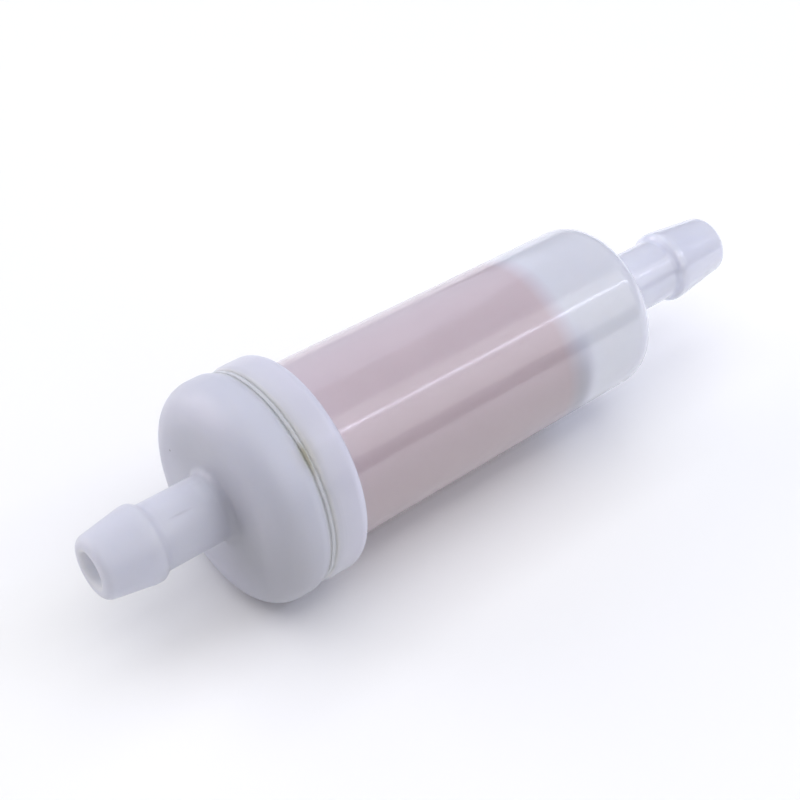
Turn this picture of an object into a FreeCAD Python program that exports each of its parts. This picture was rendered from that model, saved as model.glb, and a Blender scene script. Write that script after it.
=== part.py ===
import FreeCAD, Part
import os
import re

import Sketcher
from FreeCAD import Vector

# In-line fuel filter: a moulded nylon bowl and cap, welded at a rim, around a pleated paper element.
# The flow axis is +X, from the cap's hose nipple to the bowl's, +Z is up, and the origin is midway
# between the two nipple tips. Lengths are in millimetres.

DIMENSIONS = {
    # Hose nipples: an 8 mm (5/16 inch) fuel hose is pushed over each barb.
    "bore_radius": 2.2,
    "neck_radius": 4.35,
    "barb_radius": 5.05,
    "barb_tip_radius": 4.0,
    "barb_land": 0.9,
    "barb_back": 0.9,
    "cap_nipple_length": 16.6,
    "cap_barb_length": 8.15,
    "bowl_nipple_length": 21.6,
    "bowl_barb_length": 10.45,
    # Cap: a thick disc, a little dished around its nipple, whose tongue enters the bowl's groove.
    "cap_radius": 14.7,
    "cap_depth": 7.3,
    "cap_wall": 2.2,
    "cap_cavity_radius": 11.0,
    "cap_dish": 0.5,
    "spigot_radius": 4.35,
    "spigot_length": 3.0,
    "tongue_inner_radius": 12.0,
    "tongue_outer_radius": 13.0,
    "tongue_length": 2.5,
    # Weld: both rims narrow to a shallow waist, where a low bead of squeezed nylon stands.
    "weld_gap": 0.6,
    "waist_radius": 14.2,
    "waist_slope": 1.2,
    "bead_crown": 0.12,
    # Bowl: flange, drafted barrel and end wall.
    "flange_radius": 14.5,
    "flange_length": 5.2,
    "barrel_length": 51.4,
    "barrel_root_radius": 12.0,
    "barrel_end_radius": 11.5,
    "barrel_wall": 1.4,
    "end_wall": 1.6,
    # Element: trays at both ends, adhesive in each tray, a windowed core and the pleated paper.
    "element_length": 49.0,
    "tray_radius": 9.9,
    "tray_floor": 1.0,
    "tray_rim_height": 2.0,
    "tray_rim_wall": 0.5,
    "tray_hole_radius": 4.4,
    "collar_radius": 4.95,
    "collar_height": 2.4,
    "glue_depth": 1.2,
    "core_inner_radius": 5.05,
    "core_radius": 5.85,
    "window_width": 2.4,
    "window_length": 3.4,
    "window_pitch": 5.2,
    "window_columns": 6,
    "pleats": 36,
    "pleat_outer_radius": 9.3,
    "pleat_inner_radius": 6.0,
    "paper_thickness": 0.42,
    "crown_half_width": 0.45,
    "inner_fold_half_width": 0.3,
    "side_seam_depth": 1.6,
    # Moulded edge radii.
    "cap_rim_rounding": 4.2,
    "barrel_end_rounding": 3.3,
    "cavity_rounding": 2.0,
    "cap_cavity_rounding": 1.0,
    "flange_rounding": 1.5,
    "tip_rounding": 1.2,
    "root_rounding": 1.0,
    "barb_rounding": 1.0,
    "shoulder_rounding": 0.3,
    "waist_rounding": 2.0,
    "bead_rounding": 0.6,
    "bore_mouth_rounding": 0.55,
}
OVERALL_LENGTH = (
    "cap_nipple_length + cap_depth + weld_gap + flange_length + barrel_length + bowl_nipple_length"
)
WINDOWS_PER_COLUMN = 8
EDGE_MATCH = 1e-4
SCRATCH_CELL = "D1"

doc = FreeCAD.newDocument("fuel_filter")
sheet = doc.addObject("Spreadsheet::Sheet", "dims")
for line, (alias, size) in enumerate(DIMENSIONS.items(), start=1):
    sheet.set(f"A{line}", alias)
    sheet.set(f"B{line}", str(size))
    sheet.setAlias(f"B{line}", alias)
doc.recompute()


def with_sheet(formula):
    """The formula with each dimension's name pointing at its cell."""
    def cell_or_word(match):
        word = match[0]
        return f"dims.{word}" if word in DIMENSIONS else word

    return re.sub(r"[a-z_]+", cell_or_word, formula)


def number(formula):
    """What a formula of dimensions comes to, in millimetres, degrees or a plain count."""
    sheet.set(SCRATCH_CELL, f"={formula}")
    sheet.recompute()
    size = float(sheet.get(SCRATCH_CELL))
    sheet.clear(SCRATCH_CELL)
    return size


def new_body(label, station="0"):
    """An empty body whose own origin lies on the flow axis, at a station counted from the cap's tip."""
    body = doc.addObject("PartDesign::Body", label)
    body.Label = label
    body.setExpression("Placement.Base.x", with_sheet(f"{station} - ({OVERALL_LENGTH}) / 2"))
    return body


def origin_feature(body, role):
    return next(item for item in body.Origin.OriginFeatures if item.Role == role)


def new_sketch(body, name, plane):
    sketch = body.newObject("Sketcher::SketchObject", name)
    sketch.AttachmentSupport = (origin_feature(body, plane), [""])
    sketch.MapMode = "FlatFace"
    return sketch


def draw_polygon(sketch, corners):
    """Adds a closed polygon whose corners are pairs of formulas, each one a bound dimension."""
    points = [Vector(number(across), number(up), 0) for across, up in corners]
    first = sketch.GeometryCount
    for index, point in enumerate(points):
        sketch.addGeometry(Part.LineSegment(point, points[(index + 1) % len(points)]), False)
    for index, (corner, point) in enumerate(zip(corners, points)):
        line = first + index
        following = first + (index + 1) % len(points)
        sketch.addConstraint(Sketcher.Constraint("Coincident", line, 2, following, 1))
        for kind, formula, value in zip(("DistanceX", "DistanceY"), corner, (point.x, point.y)):
            constraint = sketch.addConstraint(Sketcher.Constraint(kind, -1, 1, line, 1, value))
            sketch.setExpression(f"Constraints[{constraint}]", with_sheet(formula))


def revolve(body, name, corners):
    """Turns a polygon of (station, radius) corners about the flow axis."""
    sketch = new_sketch(body, f"{name}_profile", "XY_Plane")
    draw_polygon(sketch, corners)
    turned = body.newObject("PartDesign::Revolution", name)
    turned.Profile = sketch
    turned.ReferenceAxis = (sketch, ["H_Axis"])
    turned.Angle = 360
    doc.recompute()
    return turned


def round_rings(body, base, name, radius, rings):
    """Rounds the circular edges of the base that lie at each (station, radius) pair of formulas."""
    targets = [(number(station), number(ring_radius)) for station, ring_radius in rings]
    found = []
    for index, edge in enumerate(base.Shape.Edges, start=1):
        curve = edge.Curve
        if not isinstance(curve, Part.Circle):
            continue
        gaps = [max(abs(curve.Center.x - x), abs(curve.Radius - r)) for x, r in targets]
        if min(gaps) < EDGE_MATCH:
            found.append(f"Edge{index}")
    if len(found) != len(targets):
        raise RuntimeError(f"{name} found {len(found)} edges where {len(targets)} were meant")
    rounded = body.newObject("PartDesign::Fillet", name)
    rounded.Base = (base, found)
    rounded.setExpression("Radius", with_sheet(radius))
    doc.recompute()
    return rounded


def polar_pattern(body, feature, sketch_axis, count):
    """Repeats a feature evenly around the flow axis."""
    pattern = body.newObject("PartDesign::PolarPattern", f"{feature.Name}_pattern")
    pattern.Originals = [feature]
    pattern.Axis = sketch_axis
    pattern.Angle = 360
    pattern.setExpression("Occurrences", with_sheet(count))
    body.Tip = pattern
    doc.recompute()
    return pattern


def make_cap():
    """Cap with its hose nipple outside, and the element's spigot and the weld tongue inside."""
    body = new_body("cap")
    crest = "cap_barb_length - barb_back"
    face = "cap_nipple_length"
    root = f"{face} + cap_dish"
    rear = f"{face} + cap_depth"
    waist = f"{rear} - waist_slope"
    inside = f"{face} + cap_wall"
    tongue_end = f"{rear} + weld_gap + tongue_length"
    spigot_end = f"{inside} + spigot_length"
    shell = revolve(body, "cap_shell", [
        ("0", "bore_radius"),
        ("0", "barb_tip_radius"),
        (f"{crest} - barb_land", "barb_radius"),
        (crest, "barb_radius"),
        ("cap_barb_length", "neck_radius"),
        (root, "neck_radius"),
        (face, "cap_radius"),
        (waist, "cap_radius"),
        (rear, "waist_radius"),
        (rear, "tongue_outer_radius"),
        (tongue_end, "tongue_outer_radius"),
        (tongue_end, "tongue_inner_radius"),
        (rear, "tongue_inner_radius"),
        (rear, "cap_cavity_radius"),
        (inside, "cap_cavity_radius"),
        (inside, "spigot_radius"),
        (spigot_end, "spigot_radius"),
        (spigot_end, "bore_radius"),
    ])
    shell = round_rings(body, shell, "cap_rim_round", "cap_rim_rounding", [(face, "cap_radius")])
    shell = round_rings(body, shell, "cap_waist_round", "waist_rounding", [(waist, "cap_radius")])
    shell = round_rings(body, shell, "cap_cavity_round", "cap_cavity_rounding", [
        (inside, "cap_cavity_radius"),
    ])
    shell = round_rings(body, shell, "cap_root_round", "root_rounding", [(root, "neck_radius")])
    shell = round_rings(body, shell, "cap_tip_round", "tip_rounding", [("0", "barb_tip_radius")])
    shell = round_rings(body, shell, "cap_mouth_round", "bore_mouth_rounding", [("0", "bore_radius")])
    round_rings(body, shell, "cap_barb_round", "barb_rounding", [
        (crest, "barb_radius"),
        ("cap_barb_length", "neck_radius"),
    ])
    return body


def make_bowl():
    """Bowl: grooved flange, drafted barrel, end wall and hose nipple in one moulding."""
    body = new_body("bowl", "cap_nipple_length + cap_depth + weld_gap")
    root = "flange_length"
    end = "flange_length + barrel_length"
    tip = f"{end} + bowl_nipple_length"
    step = f"{tip} - bowl_barb_length"
    crest = f"{step} + barb_back"
    inside_end = f"{end} - end_wall"
    shell = revolve(body, "bowl_shell", [
        ("0", "tongue_outer_radius"),
        ("0", "waist_radius"),
        ("waist_slope", "flange_radius"),
        (root, "flange_radius"),
        (root, "barrel_root_radius"),
        (end, "barrel_end_radius"),
        (end, "neck_radius"),
        (step, "neck_radius"),
        (crest, "barb_radius"),
        (f"{crest} + barb_land", "barb_radius"),
        (tip, "barb_tip_radius"),
        (tip, "bore_radius"),
        (inside_end, "bore_radius"),
        (inside_end, "barrel_end_radius - barrel_wall"),
        ("0", "barrel_root_radius - barrel_wall"),
        ("0", "tongue_inner_radius"),
        ("tongue_length", "tongue_inner_radius"),
        ("tongue_length", "tongue_outer_radius"),
    ])
    shell = round_rings(body, shell, "bowl_end_round", "barrel_end_rounding", [
        (end, "barrel_end_radius"),
    ])
    shell = round_rings(body, shell, "bowl_cavity_round", "cavity_rounding", [
        (inside_end, "barrel_end_radius - barrel_wall"),
    ])
    shell = round_rings(body, shell, "bowl_flange_round", "flange_rounding", [(root, "flange_radius")])
    shell = round_rings(body, shell, "bowl_waist_round", "waist_rounding", [
        ("waist_slope", "flange_radius"),
    ])
    shell = round_rings(body, shell, "bowl_root_round", "root_rounding", [(end, "neck_radius")])
    shell = round_rings(body, shell, "bowl_tip_round", "tip_rounding", [(tip, "barb_tip_radius")])
    shell = round_rings(body, shell, "bowl_mouth_round", "bore_mouth_rounding", [(tip, "bore_radius")])
    shell = round_rings(body, shell, "bowl_barb_round", "barb_rounding", [
        (crest, "barb_radius"),
        (step, "neck_radius"),
    ])
    round_rings(body, shell, "bowl_shoulder_round", "shoulder_rounding", [(root, "barrel_root_radius")])
    return body


def make_weld_bead():
    """Ring of nylon squeezed out of the weld and held between the two rims, a little crowned."""
    body = new_body("weld_bead", "cap_nipple_length + cap_depth")
    ring = revolve(body, "bead_ring", [
        ("0", "tongue_outer_radius"),
        ("0", "waist_radius"),
        ("weld_gap / 2", "waist_radius + bead_crown"),
        ("weld_gap", "waist_radius"),
        ("weld_gap", "tongue_outer_radius"),
    ])
    round_rings(body, ring, "bead_round", "bead_rounding", [
        ("weld_gap / 2", "waist_radius + bead_crown"),
    ])
    return body


ELEMENT_START = "cap_nipple_length + cap_wall"
ELEMENT_END = f"{ELEMENT_START} + element_length"
PAPER_START = f"{ELEMENT_START} + tray_floor + glue_depth"
PAPER_LENGTH = "element_length - 2 * tray_floor - 2 * glue_depth"
HALF_PLEAT = "(180 deg / pleats)"
VALLEY_RADIUS = "(pleat_inner_radius + paper_thickness)"
TRAY_RIM_INNER = "tray_radius - tray_rim_wall"


def make_open_end_disc():
    """Tray on the cap's side, with a collar that slips over the cap's spigot."""
    body = new_body("open_end_disc", ELEMENT_START)
    revolve(body, "open_tray", [
        ("0", "tray_hole_radius"),
        ("0", "tray_radius"),
        ("tray_rim_height", "tray_radius"),
        ("tray_rim_height", TRAY_RIM_INNER),
        ("tray_floor", TRAY_RIM_INNER),
        ("tray_floor", "collar_radius"),
        ("collar_height", "collar_radius"),
        ("collar_height", "tray_hole_radius"),
    ])
    return body


def make_closed_end_disc():
    """Tray on the bowl's side, which closes the core and centres it on a hollow boss."""
    body = new_body("closed_end_disc", f"{ELEMENT_END} - collar_height")
    floor_start = "collar_height - tray_floor"
    rim_start = "collar_height - tray_rim_height"
    wall = "collar_radius - tray_rim_wall"
    disc_sketch = new_sketch(body, "closed_floor_profile", "YZ_Plane")
    disc_sketch.addGeometry(Part.Circle(Vector(0, 0, 0), Vector(0, 0, 1), number("tray_radius")), False)
    disc_sketch.addConstraint(Sketcher.Constraint("Coincident", 0, 3, -1, 1))
    size = disc_sketch.addConstraint(Sketcher.Constraint("Radius", 0, number("tray_radius")))
    disc_sketch.setExpression(f"Constraints[{size}]", with_sheet("tray_radius"))
    disc = body.newObject("PartDesign::Pad", "closed_floor")
    disc.Profile = disc_sketch
    disc.setExpression("Length", with_sheet("collar_height"))
    doc.recompute()
    hollows = (
        ("boss_hollow", [
            ("0", "0"),
            (floor_start, "0"),
            (floor_start, wall),
            ("0", wall),
        ]),
        ("glue_hollow", [
            ("0", "collar_radius"),
            (floor_start, "collar_radius"),
            (floor_start, TRAY_RIM_INNER),
            ("0", TRAY_RIM_INNER),
        ]),
        ("rim_step", [
            ("0", TRAY_RIM_INNER),
            (rim_start, TRAY_RIM_INNER),
            (rim_start, "tray_radius + tray_rim_wall"),
            ("0", "tray_radius + tray_rim_wall"),
        ]),
    )
    for name, corners in hollows:
        before = body.Shape.Volume
        sketch = new_sketch(body, f"{name}_profile", "XY_Plane")
        draw_polygon(sketch, corners)
        groove = body.newObject("PartDesign::Groove", name)
        groove.Profile = sketch
        groove.ReferenceAxis = (sketch, ["H_Axis"])
        groove.Angle = 360
        doc.recompute()
        if not body.Shape.Volume < before:
            raise RuntimeError(f"{name} cut nothing")
    return body


def make_glue_ring(label, station):
    """Ring of cured adhesive that fills a tray around the core and holds the pleats' ends."""
    body = new_body(label, station)
    revolve(body, f"{label}_ring", [
        ("0", "core_radius"),
        ("0", TRAY_RIM_INNER),
        ("glue_depth", TRAY_RIM_INNER),
        ("glue_depth", "core_radius"),
    ])
    return body


def make_core_tube():
    """Support tube inside the pleats, with columns of windows for the fuel."""
    body = new_body("core_tube", f"{ELEMENT_START} + tray_floor")
    length = "element_length - 2 * tray_floor"
    tube = revolve(body, "core_wall", [
        ("0", "core_inner_radius"),
        ("0", "core_radius"),
        (length, "core_radius"),
        (length, "core_inner_radius"),
    ])
    before = tube.Shape.Volume
    sketch = new_sketch(body, "window_column", "XY_Plane")
    margin = f"({length} - window_length - {WINDOWS_PER_COLUMN - 1} * window_pitch) / 2"
    for row in range(WINDOWS_PER_COLUMN):
        left = f"{margin} + {row} * window_pitch"
        right = f"{left} + window_length"
        draw_polygon(sketch, [
            (left, "-1 * window_width / 2"),
            (right, "-1 * window_width / 2"),
            (right, "window_width / 2"),
            (left, "window_width / 2"),
        ])
    windows = body.newObject("PartDesign::Pocket", "windows")
    windows.Profile = sketch
    windows.Type = "Length"
    windows.Reversed = True
    windows.setExpression("Length", with_sheet("core_radius + tray_rim_wall"))
    doc.recompute()
    one_column = before - body.Shape.Volume
    polar_pattern(body, windows, (sketch, ["H_Axis"]), "window_columns")
    all_columns = before - body.Shape.Volume
    if abs(all_columns - number("window_columns") * one_column) > 0.01 * all_columns:
        raise RuntimeError("the core's windows were not all cut")
    return body


def make_pleated_media():
    """Paper folded into a star: one fold, padded and repeated around the axis."""
    body = new_body("pleated_media", PAPER_START)
    inner_x = f"pleat_inner_radius * cos{HALF_PLEAT} + inner_fold_half_width * sin{HALF_PLEAT}"
    inner_y = f"pleat_inner_radius * sin{HALF_PLEAT} - inner_fold_half_width * cos{HALF_PLEAT}"
    upper = [
        ("pleat_outer_radius", "crown_half_width"),
        (f"{VALLEY_RADIUS} * cos{HALF_PLEAT}", f"{VALLEY_RADIUS} * sin{HALF_PLEAT}"),
        (f"pleat_inner_radius * cos{HALF_PLEAT}", f"pleat_inner_radius * sin{HALF_PLEAT}"),
        (inner_x, inner_y),
    ]
    peak = ("pleat_outer_radius - paper_thickness", "0")
    lower = [(x, f"-1 * ({y})") for x, y in reversed(upper)]
    sketch = new_sketch(body, "fold_profile", "YZ_Plane")
    draw_polygon(sketch, upper + [peak] + lower)
    fold = body.newObject("PartDesign::Pad", "fold")
    fold.Profile = sketch
    fold.setExpression("Length", with_sheet(PAPER_LENGTH))
    doc.recompute()
    polar_pattern(body, fold, (sketch, ["N_Axis"]), "pleats")
    return body


def make_side_seam_glue():
    """Bead of adhesive in the valley where the pleated strip's two ends meet."""
    body = new_body("side_seam_glue", PAPER_START)
    flank_run = f"(pleat_outer_radius - {VALLEY_RADIUS} * cos{HALF_PLEAT})"
    flank_rise = f"({VALLEY_RADIUS} * sin{HALF_PLEAT} - crown_half_width)"
    top_x = f"({VALLEY_RADIUS} * cos{HALF_PLEAT} + side_seam_depth)"
    top_y = f"({VALLEY_RADIUS} * sin{HALF_PLEAT} - {flank_rise} * side_seam_depth / {flank_run})"
    pleat = f"(2 * {HALF_PLEAT})"
    sketch = new_sketch(body, "seam_profile", "YZ_Plane")
    draw_polygon(sketch, [
        (f"{VALLEY_RADIUS} * cos{HALF_PLEAT}", f"{VALLEY_RADIUS} * sin{HALF_PLEAT}"),
        (top_x, top_y),
        (
            f"{top_x} * cos{pleat} + {top_y} * sin{pleat}",
            f"{top_x} * sin{pleat} - {top_y} * cos{pleat}",
        ),
    ])
    bead = body.newObject("PartDesign::Pad", "seam_bead")
    bead.Profile = sketch
    bead.setExpression("Length", with_sheet(PAPER_LENGTH))
    doc.recompute()
    return body


nodes = [
    make_cap(),
    make_bowl(),
    make_weld_bead(),
    make_open_end_disc(),
    make_closed_end_disc(),
    make_glue_ring("open_end_glue", f"{ELEMENT_START} + tray_floor"),
    make_glue_ring("closed_end_glue", f"{ELEMENT_END} - tray_floor - glue_depth"),
    make_core_tube(),
    make_pleated_media(),
    make_side_seam_glue(),
]
doc.recompute()

for item in doc.Objects:
    if "Invalid" in item.State or "Error" in item.State:
        raise RuntimeError(f"{item.Label} did not compute: {item.State}")
for node in nodes:
    if node.Shape.isNull() or not node.Shape.isValid():
        raise RuntimeError(f"{node.Label} has no valid shape")

os.makedirs("parts", exist_ok=True)
for node in nodes:
    node.Shape.exportStep(os.path.join("parts", f"{node.Label}.step"))
    box = node.Shape.BoundBox
    print(f"{node.Label}: x {box.XMin:.2f} to {box.XMax:.2f}, {node.Shape.Volume:.1f} mm3, "
          f"{len(node.Shape.Solids)} solid")
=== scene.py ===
import math

import bpy
from mathutils import Matrix, Vector


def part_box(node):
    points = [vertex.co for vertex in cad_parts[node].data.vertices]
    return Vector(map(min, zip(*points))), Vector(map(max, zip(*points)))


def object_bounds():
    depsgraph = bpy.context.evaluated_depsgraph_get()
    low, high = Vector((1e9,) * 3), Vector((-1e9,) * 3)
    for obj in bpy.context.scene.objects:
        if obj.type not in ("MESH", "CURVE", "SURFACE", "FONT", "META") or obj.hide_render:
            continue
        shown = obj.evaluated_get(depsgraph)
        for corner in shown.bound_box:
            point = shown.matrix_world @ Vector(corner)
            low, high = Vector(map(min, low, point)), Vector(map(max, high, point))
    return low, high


# An in-line fuel filter of milky nylon, with its pink pleated element showing through the barrel.
# Every length is in metres, and the flow axis is the CAD frame's +X, from the cap to the bowl.

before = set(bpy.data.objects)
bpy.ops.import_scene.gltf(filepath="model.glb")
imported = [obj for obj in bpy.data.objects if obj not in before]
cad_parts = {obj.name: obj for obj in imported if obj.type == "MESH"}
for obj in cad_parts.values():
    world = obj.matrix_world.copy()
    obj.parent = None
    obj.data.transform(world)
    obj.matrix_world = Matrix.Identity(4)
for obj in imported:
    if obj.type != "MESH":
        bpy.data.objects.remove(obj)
CAD_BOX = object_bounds()

CAP_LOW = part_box("cap")[0]
BOWL_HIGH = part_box("bowl")[1]
MEDIA_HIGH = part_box("pleated_media")[1]
BEAD_LOW, BEAD_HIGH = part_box("weld_bead")
TRAY_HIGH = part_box("closed_end_disc")[1]
FLANGE_LENGTH = 0.0052
FLANGE_REAR = BEAD_HIGH.x + FLANGE_LENGTH
BEAD_MIDDLE = (BEAD_LOW.x + BEAD_HIGH.x) / 2
BARREL_RADIUS = 0.0117

# The nylon's own colours, and how it scatters, bends and reflects light.
NYLON_DARK = (0.775, 0.79, 0.905, 1)
NYLON_LIGHT = (0.805, 0.82, 0.935, 1)
NYLON_IOR = 1.53
COAT_IOR = 1.8
SCATTER_RADIUS = (1.0, 0.95, 0.95)
WALL_DEPTH = 0.0022
WELD_DEPTH = 0.0010
SATIN = 0.2
GLOSSY = 0.9

# Tints multiply the nylon's colour. The first ones lay on the pink of the paper seen through the barrel,
# painted shade on the barrel's lower side that is greyer at the tray's end, an even darker tone on the
# flange, the whole cap and the weld bead, and painted shade on the cap's lower side, all matched to the
# shading of the real filter. The last two are painted light, which makes the shaded lips of the weld and
# the bore's wall paler, so that they stand out less.
NO_TINT = (1.0, 1.0, 1.0, 1)
PINK_TINT = (0.85, 0.705, 0.67, 1)
# Painted shade, greyer where the tray ends, on the barrel's lower side.
TRAY_SHADE_TINT = (0.74, 0.75, 0.77, 1)
SHADE_TINT = (0.73, 0.69, 0.67, 1)
FLANGE_TINT = (0.91, 0.89, 0.875, 1)
CAP_TINT = (0.96, 0.955, 0.94, 1)
# Painted shade on the cap's lower side.
CAP_SHADE_TINT = (0.79, 0.775, 0.75, 1)
WELD_TINT = (0.72, 0.72, 0.74, 1)
# Painted light on the weld's shaded lips.
LIP_LIGHT_TINT = (1.17, 1.16, 1.06, 1)
# Painted light on the bore's wall.
BORE_LIGHT_TINT = (1.14, 1.14, 1.07, 1)
LOWER_ANGLE = math.radians(-35)
WAVER = 0.0006

# Tints of the stain, its crack, a speck, a scratch, and a painted highlight at the nipple's root.
STAIN_TINT = (0.92, 0.90, 0.80, 1)
SEAM_TINT = (0.66, 0.64, 0.54, 1)
SPECK_TINT = (0.15, 0.13, 0.12, 1)
SCRATCH_TINT = (0.88, 0.88, 0.88, 1)
# Painted highlight at the nipple's root.
ROOT_HIGHLIGHT_TINT = (1.07, 1.075, 1.07, 1)

# Where each mark or tint is centred, and how far it reaches along each axis.
ENDLESS = 1.0
STAIN_CENTRE = (-0.02735, -0.0091, 0.0109)
STAIN_REACH = (0.0024, 0.0048, 0.0048)
CRACK_REACH = (0.0005, 0.0044, 0.0044)
LIPS_REACH = (0.0010, ENDLESS, ENDLESS)
SPECK_CENTRE = (-0.0345, 0.0089, 0.0026)
SPECK_REACH = (0.0002, 0.0002, 0.0002)
SCRATCH_CENTRE = (-0.0401, -0.0021, 0.0038)
SCRATCH_REACH = (0.0021, 0.0010, 0.00012)
ROOT_HIGHLIGHT_CENTRE = (-0.0356, -0.0006, 0.0048)
ROOT_HIGHLIGHT_REACH = (0.0024, 0.0040, 0.0022)
BORE_REACH = (ENDLESS, 0.0030, 0.0030)
# Centre and reach of the painted shade on the cap's lower side.
CAP_SHADE_CENTRE = (-0.0320, -0.0085, -0.0030)
CAP_SHADE_REACH = (0.0065, 0.0150, 0.0150)

# The stage.
LIGHT_DISTANCE = 1.0
FLOOR_SIDE = 3.0
WORLD_COLOUR = (0.97, 0.98, 1.0, 1)
WORLD_STRENGTH = 0.9
FOCAL_LENGTH = 72
SENSOR_WIDTH = 36
CAMERA_RIGHT = (0.775, -0.632, 0.0)
CAMERA_FORWARD = (0.480, 0.588, -0.651)
CAMERA_ASIDE = 0.012449
CAMERA_UP = 0.007309
CAMERA_BACK = 0.19695
AIMED_AT = (-0.02165, 0, 0)


def grey(level):
    return (level, level, level, 1.0)


class Nodes:
    """A material's node tree, with short ways to add, set and join its nodes."""

    def __init__(self, name):
        self.material = bpy.data.materials.new(name)
        self.material.use_nodes = True
        self.tree = self.material.node_tree
        self.shader = self.tree.nodes["Principled BSDF"]

    def add(self, kind, settings=None, **inputs):
        node = self.tree.nodes.new(kind)
        for key, value in (settings or {}).items():
            setattr(node, key, value)
        for key, value in inputs.items():
            self.feed(node.inputs[key.replace("_", " ")], value)
        return node

    def feed(self, socket, value):
        if isinstance(value, bpy.types.NodeSocket):
            self.tree.links.new(value, socket)
        else:
            socket.default_value = value

    def set(self, **inputs):
        for key, value in inputs.items():
            self.feed(self.shader.inputs[key.replace("_", " ")], value)

    def place(self):
        return self.add("ShaderNodeTexCoord").outputs["Object"]

    def noise(self, scale, detail=3.0, stretch=None, roughness=0.55):
        vector = self.place()
        if stretch:
            mapping = self.add("ShaderNodeMapping", Vector=vector)
            mapping.inputs["Scale"].default_value = stretch
            vector = mapping.outputs["Vector"]
        fields = {"Scale": scale, "Detail": detail, "Roughness": roughness}
        return self.add("ShaderNodeTexNoise", Vector=vector, **fields).outputs["Fac"]

    def ramp(self, factor, stops, smooth=True):
        node = self.add("ShaderNodeValToRGB", Fac=factor)
        node.color_ramp.interpolation = "EASE" if smooth else "LINEAR"
        elements = node.color_ramp.elements
        while len(elements) < len(stops):
            elements.new(0.5)
        for element, (position, colour) in zip(elements, stops):
            element.position = position
            element.color = colour
        return node.outputs["Color"]

    def bump(self, height, strength, distance, normal=None):
        node = self.add("ShaderNodeBump", Height=height, Strength=strength, Distance=distance)
        if normal:
            self.feed(node.inputs["Normal"], normal)
        return node.outputs["Normal"]

    def range(self, value, start, stop, low=0.0, high=1.0, smooth=True):
        kind = "SMOOTHSTEP" if smooth else "LINEAR"
        node = self.add("ShaderNodeMapRange", {"interpolation_type": kind}, Value=value)
        limits = {"From Min": start, "From Max": stop, "To Min": low, "To Max": high}
        for socket, limit in limits.items():
            node.inputs[socket].default_value = limit
        return node.outputs["Result"]

    def near(self, centre, reach, core=0.0):
        """One in an ellipsoid's core, falling to nothing at its edge, which reaches so far each way."""
        offset = self.add("ShaderNodeVectorMath", {"operation": "SUBTRACT"})
        self.feed(offset.inputs[0], self.place())
        offset.inputs[1].default_value = centre
        scaled = self.add("ShaderNodeVectorMath", {"operation": "DIVIDE"})
        self.feed(scaled.inputs[0], offset.outputs["Vector"])
        scaled.inputs[1].default_value = reach
        length = self.add("ShaderNodeVectorMath", {"operation": "LENGTH"})
        self.feed(length.inputs[0], scaled.outputs["Vector"])
        return self.range(length.outputs["Value"], 1.0, core)

    def combine(self, operation, first, second):
        """Two numbers added, subtracted or multiplied."""
        node = self.add("ShaderNodeMath", {"operation": operation})
        self.feed(node.inputs[0], first)
        self.feed(node.inputs[1], second)
        return node.outputs["Value"]

    def tinted(self, colour, tint, factor=1.0):
        """The colour multiplied by a tint, as far as the factor says."""
        mix = self.add("ShaderNodeMix", {"data_type": "RGBA", "blend_type": "MULTIPLY"})
        # The node has sockets for each data type: 6, 7 and output 2 are the ones for colours.
        self.feed(mix.inputs[0], factor)
        self.feed(mix.inputs[6], colour)
        self.feed(mix.inputs[7], tint)
        return mix.outputs[2]


def milky_nylon(name, gloss, gloss_roughness, clearness, depth, marks_and_light, tint=None):
    """Natural nylon: scatters light to a depth under a satin skin, with a thin gloss over it.

    marks adds the wear and the painted light and shade, as a colour and the height of its dents. tint,
    if given, colours the nylon before that; on the barrel it also lays painted shade.
    """
    nodes = Nodes(name)
    colour = nodes.ramp(nodes.noise(60, detail=2), [(0.3, NYLON_DARK), (0.7, NYLON_LIGHT)])
    if tint:
        colour = tint(nodes, colour)
    colour, dents = marks_and_light(nodes, colour)
    skin = nodes.bump(nodes.noise(160, detail=2), strength=0.025, distance=0.0005)
    streaks = nodes.noise(200, detail=2, stretch=(0.12, 1, 1))
    drawn = nodes.bump(streaks, strength=0.02, distance=0.0005, normal=skin)
    nodes.set(
        Base_Color=colour,
        Roughness=nodes.ramp(nodes.noise(300, detail=2), [(0.3, grey(0.42)), (0.7, grey(0.5))]),
        Normal=nodes.bump(dents, strength=0.4, distance=0.0002, normal=drawn),
    )
    shader = nodes.shader
    shader.inputs["IOR"].default_value = NYLON_IOR
    shader.inputs["Subsurface Weight"].default_value = 1.0
    shader.inputs["Subsurface Radius"].default_value = SCATTER_RADIUS
    shader.inputs["Subsurface Scale"].default_value = depth
    shader.inputs["Transmission Weight"].default_value = clearness
    nodes.feed(shader.inputs["Coat Weight"], gloss(nodes) if callable(gloss) else gloss)
    shader.inputs["Coat Roughness"].default_value = gloss_roughness
    shader.inputs["Coat IOR"].default_value = COAT_IOR
    return nodes.material


def barrel_gloss(nodes):
    """Satin on the flange, glossy on the barrel behind it, as the coat's weight along the axis."""
    axis = nodes.add("ShaderNodeSeparateXYZ", Vector=nodes.place()).outputs["X"]
    return nodes.range(axis, FLANGE_REAR - 0.0008, FLANGE_REAR + 0.0004, SATIN, GLOSSY)


def lower_side(nodes):
    """One along the side that faces down and to the front, falling to nothing overhead: where shade is
    painted.
    """
    slope = nodes.add("ShaderNodeVectorMath", {"operation": "DOT_PRODUCT"})
    nodes.feed(slope.inputs[0], nodes.place())
    slope.inputs[1].default_value = (0.0, -math.cos(LOWER_ANGLE), math.sin(LOWER_ANGLE))
    return nodes.range(slope.outputs["Value"], 0.1 * BARREL_RADIUS, 0.95 * BARREL_RADIUS)


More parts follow.
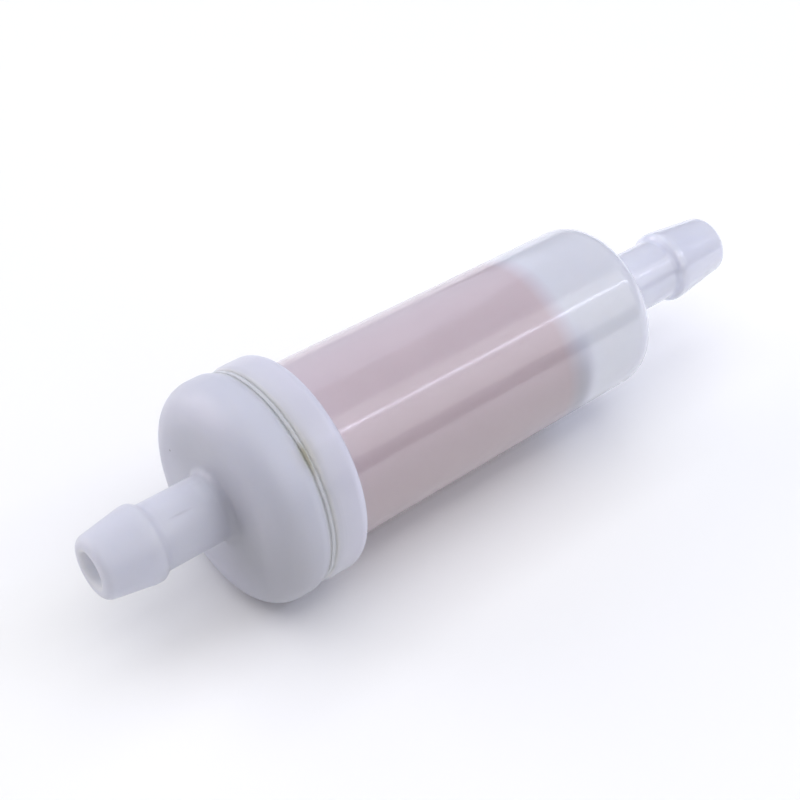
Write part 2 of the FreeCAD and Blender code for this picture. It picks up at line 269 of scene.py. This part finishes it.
def show_element(nodes, colour):
    """Lays the pink of the paper over the barrel's nylon, darkens the flange evenly, and lays painted
    shade along the lower side, greyer where the closed tray behind it ends.

    The pieces inside hardly show through the milky wall's shader, so the colours that show through the
    real wall are painted on it.
    """
    start, stop = FLANGE_REAR, BOWL_HIGH.x
    axis = nodes.add("ShaderNodeSeparateXYZ", Vector=nodes.place()).outputs["X"]
    waver = nodes.range(nodes.noise(70, detail=1), 0.0, 1.0, -WAVER, WAVER, smooth=False)
    span = nodes.range(nodes.combine("ADD", axis, waver), start, stop, smooth=False)

    def band(tint, rise_start, rise_end, fall_start, fall_end):
        stops = [(rise_start, NO_TINT), (rise_end, tint), (fall_start, tint), (fall_end, NO_TINT)]
        spans = [((place - start) / (stop - start), shade) for place, shade in stops]
        return nodes.ramp(span, spans, smooth=False)

    paper_end, tray_end = MEDIA_HIGH.x, TRAY_HIGH.x
    low = lower_side(nodes)
    paper = band(PINK_TINT, start, start + 0.0006, paper_end - 0.0012, paper_end + 0.0018)
    shade = band(SHADE_TINT, start, start + 0.0006, tray_end - 0.0005, tray_end + 0.0020)
    tray = band(TRAY_SHADE_TINT, paper_end - 0.0015, paper_end + 0.0010, tray_end, tray_end + 0.0014)
    colour = nodes.tinted(colour, FLANGE_TINT, nodes.range(axis, start, start - 0.0004))
    colour = nodes.tinted(colour, paper)
    # Painted shade along the lower side: darker over the paper, greyer where the tray ends.
    colour = nodes.tinted(colour, shade, low)
    return nodes.tinted(colour, tray, low)


def dull_weld(nodes, colour):
    return nodes.tinted(colour, WELD_TINT)


def stain_and_light_weld(nodes, colour):
    """Painted light that makes the shaded lips along the weld paler, and on one part of it a yellowish
    stain with a darker crack within.
    """
    ragged = nodes.range(nodes.noise(350, detail=3), 0.25, 0.55)
    halo = nodes.combine("MULTIPLY", nodes.near(STAIN_CENTRE, STAIN_REACH), ragged)
    crack = nodes.combine("MULTIPLY", nodes.near(STAIN_CENTRE, CRACK_REACH, core=0.3), ragged)
    # Painted light on the weld's shaded lips.
    lips = nodes.near((BEAD_MIDDLE, 0, 0), LIPS_REACH, core=0.3)
    colour = nodes.tinted(colour, LIP_LIGHT_TINT, lips)
    stained = nodes.tinted(nodes.tinted(colour, STAIN_TINT, halo), SEAM_TINT, crack)
    return stained, nodes.combine("MULTIPLY", crack, -1.0)


def mark_and_light_cap(nodes, colour):
    """The weld's stain, a speck, a scratch, a painted highlight at the nipple's root and two adjustments
    of tone, which are painted light and shade.

    The bore's wall has painted light, so that the hole stands out less. The side that lies in shade is
    greyer: painted shade.
    """
    colour, dents = stain_and_light_weld(nodes, nodes.tinted(colour, CAP_TINT))
    speck = nodes.near(SPECK_CENTRE, SPECK_REACH)
    scratch = nodes.near(SCRATCH_CENTRE, SCRATCH_REACH)
    ragged = nodes.range(nodes.noise(400, detail=3), 0.35, 0.55)
    # Painted highlight at the nipple's root.
    root = nodes.combine("MULTIPLY", nodes.near(ROOT_HIGHLIGHT_CENTRE, ROOT_HIGHLIGHT_REACH, core=0.4), ragged)
    # Painted light on the bore's wall.
    bore = nodes.near((CAP_LOW.x, 0, 0), BORE_REACH, core=0.75)
    # Painted shade on the cap's lower side.
    cap_shade = nodes.near(CAP_SHADE_CENTRE, CAP_SHADE_REACH, core=0.2)
    masks = [
        (speck, SPECK_TINT),
        (scratch, SCRATCH_TINT),
        (root, ROOT_HIGHLIGHT_TINT),
        (bore, BORE_LIGHT_TINT),
        (cap_shade, CAP_SHADE_TINT),
    ]
    for mask, tint in masks:
        colour = nodes.tinted(colour, tint, mask)
    return colour, nodes.combine("SUBTRACT", dents, scratch)


def plain_plastic(name, dark, light, roughness):
    nodes = Nodes(name)
    nodes.set(
        Base_Color=nodes.ramp(nodes.noise(250), [(0.3, dark), (0.7, light)]),
        Roughness=nodes.ramp(nodes.noise(800), [(0.3, grey(roughness)), (0.7, grey(roughness + 0.12))]),
        Normal=nodes.bump(nodes.noise(1500), 0.15, 0.0001),
    )
    return nodes.material


def filter_paper():
    nodes = Nodes("filter_paper")
    fibres = nodes.noise(900, detail=5, stretch=(0.35, 1, 1))
    nodes.set(
        Base_Color=nodes.ramp(fibres, [(0.25, (0.62, 0.36, 0.34, 1)), (0.75, (0.74, 0.48, 0.45, 1))]),
        Roughness=nodes.ramp(fibres, [(0.2, grey(0.8)), (0.8, grey(0.95))]),
        Normal=nodes.bump(fibres, 0.5, 0.0002),
    )
    return nodes.material


def dress(node, material):
    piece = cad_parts[node]
    piece.data.materials.clear()
    piece.data.materials.append(material)


NYLON = milky_nylon(
    "milky_nylon", SATIN, gloss_roughness=0.3, clearness=0.3, depth=WALL_DEPTH, marks_and_light=mark_and_light_cap
)
BARREL_NYLON = milky_nylon(
    "barrel_nylon", barrel_gloss, gloss_roughness=0.12, clearness=0.15, depth=WALL_DEPTH,
    marks_and_light=stain_and_light_weld, tint=show_element,
)
TRAY = plain_plastic("tray_nylon", (0.72, 0.72, 0.75, 1), (0.82, 0.82, 0.85, 1), 0.4)
GLUE = plain_plastic("adhesive", (0.72, 0.62, 0.46, 1), (0.80, 0.71, 0.56, 1), 0.3)
WELD = milky_nylon(
    "weld_nylon", SATIN, gloss_roughness=0.3, clearness=0.1, depth=WELD_DEPTH,
    marks_and_light=stain_and_light_weld, tint=dull_weld,
)
MATERIALS = {
    "cap": NYLON,
    "bowl": BARREL_NYLON,
    "weld_bead": WELD,
    "open_end_disc": TRAY,
    "closed_end_disc": TRAY,
    "core_tube": TRAY,
    "open_end_glue": GLUE,
    "closed_end_glue": GLUE,
    "side_seam_glue": GLUE,
    "pleated_media": filter_paper(),
}
for node, material in MATERIALS.items():
    dress(node, material)


def make_floor():
    """Pale floor that the cap's rim just touches."""
    bpy.ops.mesh.primitive_plane_add(size=FLOOR_SIDE, location=(0, 0, CAD_BOX[0].z))
    floor = bpy.context.object
    floor.name = "floor"
    nodes = Nodes("floor_paint")
    paint = nodes.ramp(nodes.noise(3), [(0.3, grey(0.90)), (0.7, grey(0.92))])
    nodes.set(Base_Color=paint, Roughness=0.9)
    nodes.shader.inputs["Specular IOR Level"].default_value = 0.1
    floor.data.materials.append(nodes.material)


def around(angle):
    """The way out from the flow axis at an angle: 0 is level on the camera's side, 90 overhead."""
    turn = math.radians(angle)
    return Vector((0, -math.cos(turn), math.sin(turn)))


def add_softbox(name, out, offset, length, width, power, colour):
    """A rectangular light a metre out from the axis, its long side as near along it as it can be."""
    axis = Vector((1, 0, 0)) if abs(out.x) < 0.5 else Vector((0, 1, 0))
    out = out.normalized()
    along = (axis - out * axis.dot(out)).normalized()
    light = bpy.data.lights.new(name, "AREA")
    light.shape = "RECTANGLE"
    light.size = length
    light.size_y = width
    light.energy = power
    light.color = colour
    lamp = bpy.data.objects.new(name, light)
    turn = Matrix((along, out.cross(along), out)).transposed().to_4x4()
    lamp.matrix_world = Matrix.Translation(out * LIGHT_DISTANCE + along * offset) @ turn
    bpy.context.scene.collection.objects.link(lamp)
    return lamp


# Name, way out from the part, shift along the long side, length, width, power in watts and colour.
SOFTBOXES = [
    ("back_softbox", around(146), 0.0, 1.5, 1.32, 3.9, (0.76, 0.84, 1.0)),
    ("left_softbox", Vector((-0.7, 1.0, 0.38)), 0.0, 0.8, 0.8, 4.2, (0.97, 0.89, 0.93)),
    ("front_softbox", around(45), 0.4, 1.6, 1.05, 4.8, (1.0, 0.985, 0.96)),
    ("strip_light", around(54), 0.7, 1.4, 0.02, 1.0, (0.78, 0.8, 1.0)),
    ("end_softbox", Vector((1, -0.2, 0.35)), 0.0, 0.6, 0.6, 3.0, (0.6, 0.65, 1.0)),
    ("overhead_softbox", around(92), 0.0, 1.5, 1.2, 10.0, (0.99, 0.99, 1.0)),
]
UNREFLECTED = ("end_softbox", "overhead_softbox")


def light_scene():
    """Soft light from the back, front, left, end and top, and a thin strip that draws the barrel's line.

    The lights overhead and at the end are kept out of reflections, so the gloss stays dark between the
    others. The pale world is there for the camera only, and gives no light.
    """
    world = bpy.data.worlds.new("studio")
    bpy.context.scene.world = world
    world.use_nodes = True
    background = world.node_tree.nodes["Background"]
    background.inputs["Color"].default_value = WORLD_COLOUR
    background.inputs["Strength"].default_value = WORLD_STRENGTH
    for ray in ("diffuse", "glossy", "transmission", "scatter"):
        setattr(world.cycles_visibility, ray, False)
    for softbox in SOFTBOXES:
        lamp = add_softbox(*softbox)
        lamp.visible_glossy = softbox[0] not in UNREFLECTED
    bpy.context.scene.view_settings.view_transform = "Standard"


def aim_camera():
    """Camera at az -39.2, el 40.6 degrees, set from where it sees the bowl's flange."""
    data = bpy.data.cameras.new("camera")
    data.lens = FOCAL_LENGTH
    data.sensor_width = SENSOR_WIDTH
    camera = bpy.data.objects.new("camera", data)
    right = Vector(CAMERA_RIGHT).normalized()
    forward = Vector(CAMERA_FORWARD).normalized()
    up = right.cross(forward)
    camera.location = Vector(AIMED_AT) + right * CAMERA_ASIDE + up * CAMERA_UP - forward * CAMERA_BACK
    rotation = Matrix((right, up, -forward)).transposed()
    camera.rotation_euler = rotation.to_euler()
    bpy.context.scene.collection.objects.link(camera)
    bpy.context.scene.camera = camera


aim_camera()
make_floor()
light_scene()
